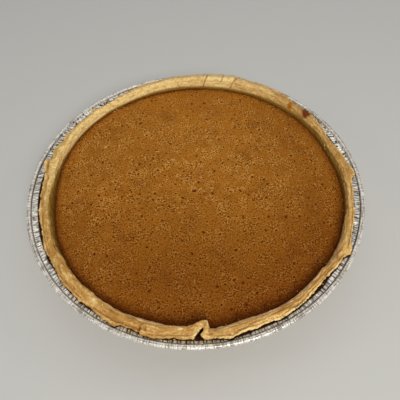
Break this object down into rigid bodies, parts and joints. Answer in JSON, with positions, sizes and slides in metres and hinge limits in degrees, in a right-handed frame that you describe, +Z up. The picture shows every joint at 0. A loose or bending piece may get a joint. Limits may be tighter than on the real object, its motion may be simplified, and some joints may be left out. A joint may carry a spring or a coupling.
{
  "type": "pumpkin pie",
  "caption": "Whole baked pumpkin pie with a folded pastry rim and a smooth custard filling, in its own round pressed foil pan.",
  "frame": {"origin": "on the table plane under the middle of the pan's flat bottom", "axes": "+Z up out of the pie's top, -Y towards the pie's front, where the pleat in the folded rim is, +X to the right seen from the front"},
  "size_m": [0.245, 0.245, 0.0386],
  "materials": {
    "foil": "bright pressed foil, lightly wrinkled",
    "pastry": "baked shortcrust pastry, matt, flaky",
    "custard": "set pumpkin custard, soft sheen, finely pitted"
  },
  "bodies": {
    "root": {"foil_pan": "foil", "pastry_crust": "pastry", "pumpkin_filling": "custard"}
  },
  "joints": []
}
